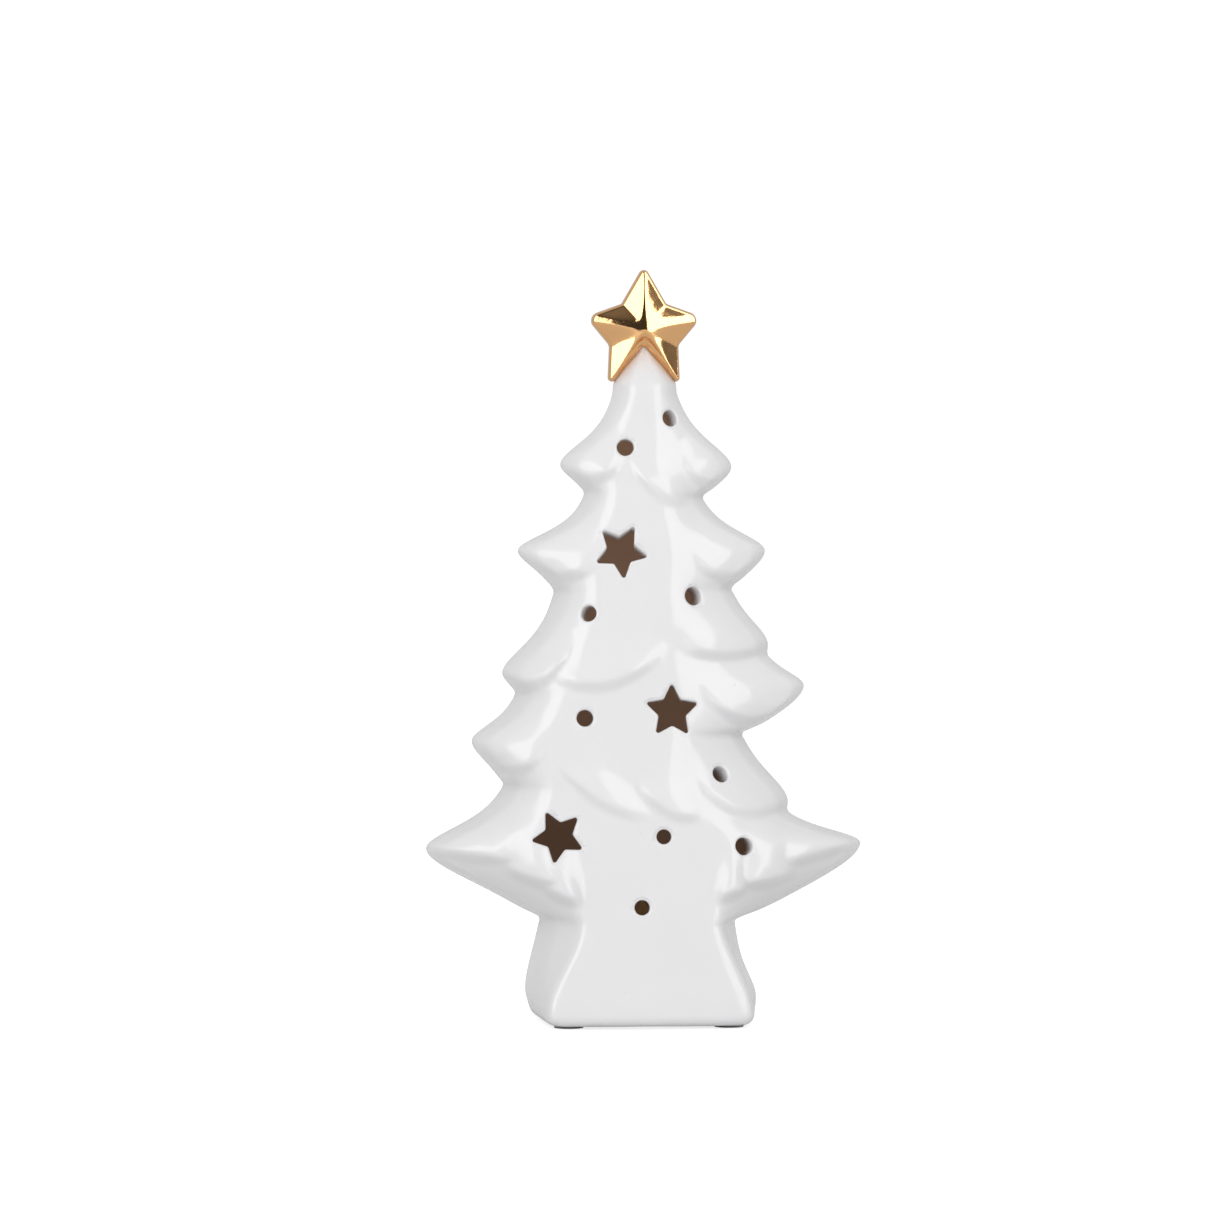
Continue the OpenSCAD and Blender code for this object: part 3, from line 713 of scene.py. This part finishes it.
def buildStar():
    s = starSizes
    spots = roundedOutline(np.array(s["corners"], float), s["onArc"], s["onSide"])
    outward = outwards(spots)
    n = len(spots)
    step = np.linalg.norm(np.roll(spots, -1, 0) - spots, axis=1).mean()
    rim = starRim()
    peak = np.array([0, s["peakUp"]])
    shoulder = spots - outward * rim[:, None]
    half = []  # rows from the middle of a face out to the parting plane
    for k in range(s["facetRows"]):
        share = (k / s["facetRows"]) ** s["gather"]
        sunk = math.sqrt(share ** 2 + s["dome"] ** 2) - s["dome"]
        melt = s["ridge"] * (1 - s["ridgeFade"] * share) / (step * max(share, 0.05))
        half.append((evened(peak + (shoulder - peak) * share, melt),
                     s["peak"] - (s["peak"] - s["shoulder"]) * sunk / s["domeSpan"]))
    for k in range(s["rimRows"] + 1):
        a = math.pi / 2 * k / s["rimRows"]
        half.append((spots - outward * (rim * (1 - math.sin(a)))[:, None],
                     s["shoulder"] * math.cos(a)))
    rows = [(flat, -deep) for flat, deep in half] + [(flat, deep) for flat, deep in half[-2::-1]]

    def place(turn, row):
        i = np.round(turn / (2 * math.pi) * n).astype(int) % n
        flat = np.array([r[0] for r in rows])[row, i]
        deep = np.array([r[1] for r in rows])[row]
        return flat[:, 0], deep, flat[:, 1] + s["middle"]

    return wrapSheet("gildedStar", n, len(rows), place)


star = buildStar()
star.data.materials.append(finishes["gold"])
makeActive(star)
bpy.ops.object.shade_smooth_by_angle(angle=math.radians(24))
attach(star, "tree")
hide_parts("star_topper")
print("stage: star made")


# studio, in metres

studio = {
    "distance": 1.6, "cameraHigh": 0.165, "azimuth": -4.0, "frameWide": 0.3354,
    "aimRight": -0.0101, "aimHigh": 0.1143,
    "white": 1.05, "surround": 0.72,  # the world as it is seen, and as light
    "dark": 0.05, "bright": 0.62,  # the world in reflections, towards the camera and elsewhere
    "darkUpTo": -0.75, "brightFrom": -0.1,  # how far round each of those reaches
    "floorLight": (0.80, 0.80, 0.80), "floorDark": (0.78, 0.78, 0.78),
    "floorGlow": 1.75, "glowShare": 0.45,
    "opening": 0.019,  # radius of the clear patch in the floor, hidden by the base
}
softboxes = {  # each either lights the object or only shows in its shine
    "front": {"at": (-0.3, -1.9, 1.0), "aim": (0, 0, 0.1), "size": (1.8, 1.4), "power": 18,
              "lights": True},
    "leftPanel": {"at": (-1.45, -1.25, 0.75), "aim": (0, 0, 0.15), "size": (1.7, 1.5), "power": 29,
                  "lights": False},
    "rightPanel": {"at": (1.07, -1.64, 0.95), "aim": (0, 0, 0.15), "size": (1.35, 2.1), "power": 34,
                   "lights": False},
}


def addCamera():
    s = studio
    a = math.radians(s["azimuth"])
    away = Vector((math.sin(a), -math.cos(a), 0))
    sideways = Vector((math.cos(a), math.sin(a), 0))
    aim = sideways * s["aimRight"] + Vector((0, 0, s["aimHigh"]))
    deselectAll()
    bpy.ops.object.camera_add()
    camera = bpy.context.object
    camera.location = sideways * s["aimRight"] + away * s["distance"]
    camera.location.z = s["cameraHigh"]
    look = aim - camera.location
    camera.rotation_euler = look.to_track_quat("-Z", "Y").to_euler()
    camera.data.sensor_width = 36
    camera.data.lens = 36 * look.length / s["frameWide"]
    camera.data.clip_start, camera.data.clip_end = 0.01, 50
    bpy.context.scene.camera = camera


def addSoftbox(name, at, aim, size, power, lights):
    deselectAll()
    bpy.ops.object.light_add(type="AREA", location=at)
    box = bpy.context.object
    box.name = name
    box.data.shape, box.data.energy = "RECTANGLE", power
    box.data.size, box.data.size_y = size
    box.rotation_euler = (Vector(aim) - Vector(at)).to_track_quat("-Z", "Y").to_euler()
    box.visible_camera, box.visible_diffuse, box.visible_glossy = False, lights, not lights


def addWorld():
    s = studio
    world = bpy.data.worlds.new("studio")
    bpy.context.scene.world = world
    f = Finish(world)
    seen = f.node("ShaderNodeLightPath", output="Is Camera Ray")
    shiny = f.node("ShaderNodeLightPath", output="Is Glossy Ray")
    way = f.node("ShaderNodeTexCoord", output="Generated")
    back = f.node("ShaderNodeSeparateXYZ", None, {"Vector": way}, "Y")
    behind = f.spread(back, fromMin=s["darkUpTo"], fromMax=s["brightFrom"])
    mirrored = behind * (s["bright"] - s["dark"]) + s["dark"]
    level = (seen * (s["white"] - s["surround"]) + s["surround"]
             + shiny * (mirrored - s["surround"]))
    background = f.tree.nodes["Background"]
    f.feed(background.inputs["Strength"], level)
    f.feed(background.inputs["Color"], (1, 1, 1))


def addFloor():
    s = studio
    deselectAll()
    bpy.ops.mesh.primitive_circle_add(vertices=96, radius=6, fill_type="NGON")
    floor = bpy.context.object
    floor.name = "floor"
    f = newFinish("pale floor")
    plain = f.shader({"Base Color": f.blend(f.noise(3), s["floorLight"], s["floorDark"]),
                      "Roughness": 0.8, "Specular IOR Level": 0.0})
    bright = f.node("ShaderNodeEmission", None, {"Strength": s["floorGlow"]})
    seen = f.node("ShaderNodeLightPath", output="Is Camera Ray")
    surface = f.blendShaders(seen * s["glowShare"], plain, bright)
    # nothing of the floor shows from below, and light comes up through it under the base
    fromMiddle = f.node("ShaderNodeVectorMath", {"operation": "LENGTH"}, {0: f.place}, "Value")
    below = f.node("ShaderNodeNewGeometry", output="Backfacing")
    gap = fromMiddle.maths("LESS_THAN", s["opening"]).maths("MAXIMUM", below)
    shown = f.blendShaders(gap, surface, f.node("ShaderNodeBsdfTransparent"))
    f.feed(f.tree.nodes["Material Output"].inputs["Surface"], shown)
    floor.data.materials.append(f.owner)


addCamera()
addWorld()
for name, box in softboxes.items():
    addSoftbox(name, **box)
addFloor()
bpy.context.scene.view_settings.view_transform = "Standard"
print("stage: studio ready")
